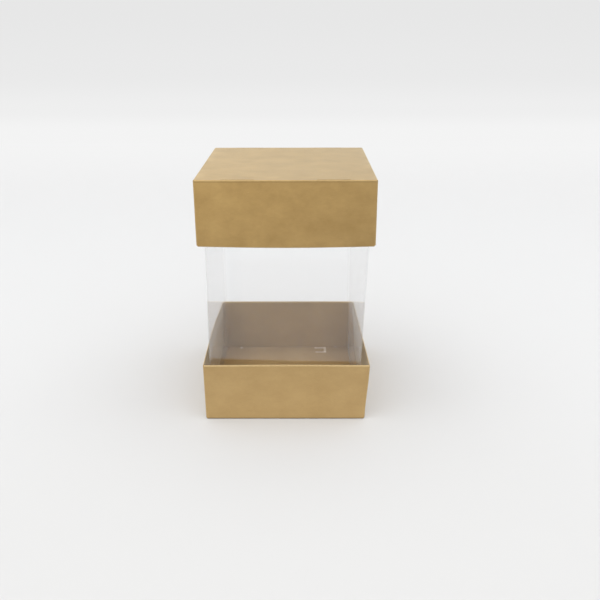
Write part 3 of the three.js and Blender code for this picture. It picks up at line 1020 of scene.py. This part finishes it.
def floor_material():
    """A diffuse floor, a little darker in front as painted light, which turns into a glowing
    backdrop in the distance, graded as painted light.
    """
    material, nodes, links, output = new_material("pale_floor")
    near = nodes.new("ShaderNodeBsdfDiffuse")
    place = nodes.new("ShaderNodeSeparateXYZ")
    links.new(nodes.new("ShaderNodeTexCoord").outputs["Object"], place.inputs[0])
    behind = remap(nodes, links, place.outputs["Y"], *FLOOR_TURN, 0, 1, True)
    colour = mix_colour(nodes, links, behind, FRONT_FLOOR_COLOUR, BACK_FLOOR_COLOUR)
    links.new(colour, near.inputs["Color"])
    distance = math_node(nodes, links, "ADD", place.outputs["Y"], place.outputs["Z"])
    ramp = nodes.new("ShaderNodeValToRGB")
    ramp.color_ramp.interpolation = "EASE"
    while len(ramp.color_ramp.elements) < len(FAR_PAINTED_LIGHT):
        ramp.color_ramp.elements.new(0.5)
    for element, (metres, shade) in zip(ramp.color_ramp.elements, FAR_PAINTED_LIGHT):
        element.position = metres / FAR_RANGE
        element.color = (shade, shade, shade, 1)
    links.new(remap(nodes, links, distance, 0, FAR_RANGE, 0, 1), ramp.inputs[0])
    far = nodes.new("ShaderNodeEmission")
    links.new(ramp.outputs[0], far.inputs["Color"])
    turned = remap(nodes, links, distance, *FAR_FLOOR, 0, 1, True)
    share = math_node(nodes, links, "MULTIPLY", turned, seen_directly(nodes, links))
    surface = mixed_shader(nodes, links, share, near.outputs[0], far.outputs[0])
    links.new(surface, output.inputs["Surface"])
    return material


def floor_and_backdrop():
    """A pale floor that sweeps up into a backdrop behind the box."""
    rows = [(-FLOOR_HALF, 0.0), (BACKDROP_FROM, 0.0)]
    for i in range(1, BACKDROP_STEPS + 1):
        angle = math.pi / 2 * i / BACKDROP_STEPS
        rows.append((
            BACKDROP_FROM + BACKDROP_RADIUS * math.sin(angle),
            BACKDROP_RADIUS * (1 - math.cos(angle)),
        ))
    rows.append((BACKDROP_FROM + BACKDROP_RADIUS, BACKDROP_TOP))
    mesh = bmesh.new()
    lines = [[mesh.verts.new((x, y, z)) for x in (-FLOOR_HALF, FLOOR_HALF)] for y, z in rows]
    for near, far in zip(lines, lines[1:]):
        mesh.faces.new((near[0], near[1], far[1], far[0])).smooth = True
    data = bpy.data.meshes.new("floor")
    mesh.to_mesh(data)
    mesh.free()
    floor = bpy.data.objects.new("floor", data)
    bpy.context.scene.collection.objects.link(floor)
    data.materials.append(floor_material())


# Lamps and surrounding light

LAMP_SIZE = 0.40
# Each soft lamp's name, place in metres, power in watts and colour
LAMPS = (
    ("key_left", (-0.52, -0.18, 1.25), 0.5, (1.0, 0.985, 0.96)),
    ("fill_right", (0.75, 0.05, 1.05), 0.4, (0.97, 0.98, 1.0)),
)
AMBIENT_COLOUR = (0.985, 0.99, 1.0)
AMBIENT_LEVEL = 0.27
AMBIENT_SLOPE = (-0.08, -0.10, 1.71)  # more light from the left, from the front and from above
SEEN_SURROUNDINGS = (0.85, 0.85, 0.845)


def area_lamp(name, place, power, colour):
    """A square soft lamp that faces the box."""
    light = bpy.data.lights.new(name, "AREA")
    light.shape = "SQUARE"
    light.size = LAMP_SIZE
    light.energy = power
    light.color = colour
    lamp = bpy.data.objects.new(name, light)
    bpy.context.scene.collection.objects.link(lamp)
    lamp.location = place
    aim = Vector((0, 0, BOX_HEIGHT / 2)) - Vector(place)
    lamp.rotation_mode = "QUATERNION"
    lamp.rotation_quaternion = aim.to_track_quat("-Z", "Y")


def surrounding_light():
    """Soft light on the object from all sides, and evenly pale surroundings to look at."""
    world = bpy.data.worlds.new("studio")
    bpy.context.scene.world = world
    world.use_nodes = True
    nodes, links = world.node_tree.nodes, world.node_tree.links
    nodes.clear()
    output = nodes.new("ShaderNodeOutputWorld")
    direction = nodes.new("ShaderNodeSeparateXYZ")
    links.new(nodes.new("ShaderNodeTexCoord").outputs["Generated"], direction.inputs[0])
    strength = AMBIENT_LEVEL
    for axis, slope in zip("XYZ", AMBIENT_SLOPE):
        more = math_node(nodes, links, "MULTIPLY", direction.outputs[axis], slope)
        strength = math_node(nodes, links, "ADD", more, strength)
    ambient = nodes.new("ShaderNodeBackground")
    ambient.inputs["Color"].default_value = (*AMBIENT_COLOUR, 1)
    links.new(strength, ambient.inputs["Strength"])
    pale = nodes.new("ShaderNodeBackground")
    pale.inputs["Color"].default_value = (*SEEN_SURROUNDINGS, 1)
    pale.inputs["Strength"].default_value = 1.0
    seen = seen_directly(nodes, links)
    surface = mixed_shader(nodes, links, seen, ambient.outputs[0], pale.outputs[0])
    links.new(surface, output.inputs["Surface"])


# Camera

CAMERA_PLACE = Vector((7.7 * MM, -319.8 * MM, 182.7 * MM))
CAMERA_PITCH = math.radians(22.91)
CAMERA_YAW = math.radians(0.14)
CAMERA_ROLL = math.radians(0.10)
FOCAL_PIXELS = 658.4
PICTURE_PIXELS = 600
SENSOR = 36
NEAREST_SEEN = 0.01
FARTHEST_SEEN = 20


def photograph_camera():
    data = bpy.data.cameras.new("camera")
    data.sensor_width = SENSOR
    data.lens = FOCAL_PIXELS * SENSOR / PICTURE_PIXELS
    data.clip_start = NEAREST_SEEN
    data.clip_end = FARTHEST_SEEN
    camera = bpy.data.objects.new("camera", data)
    bpy.context.scene.collection.objects.link(camera)
    level = Vector((-math.sin(CAMERA_YAW), math.cos(CAMERA_YAW), 0))
    right = Vector((math.cos(CAMERA_YAW), math.sin(CAMERA_YAW), 0))
    forward = level * math.cos(CAMERA_PITCH) - UP * math.sin(CAMERA_PITCH)
    top = level * math.sin(CAMERA_PITCH) + UP * math.cos(CAMERA_PITCH)
    x_axis = right * math.cos(CAMERA_ROLL) - top * math.sin(CAMERA_ROLL)
    y_axis = right * math.sin(CAMERA_ROLL) + top * math.cos(CAMERA_ROLL)
    turn = Matrix((x_axis, y_axis, -forward)).transposed()
    camera.matrix_world = Matrix.Translation(CAMERA_PLACE) @ turn.to_4x4()
    bpy.context.scene.camera = camera


TRANSPARENT_BOUNCES = 32  # enough for every face of the sleeve that a ray can cross

build_box()
floor_and_backdrop()
for lamp in LAMPS:
    area_lamp(*lamp)
surrounding_light()
photograph_camera()
scene = bpy.context.scene
scene.view_settings.view_transform = "Standard"
scene.cycles.transparent_max_bounces = TRANSPARENT_BOUNCES
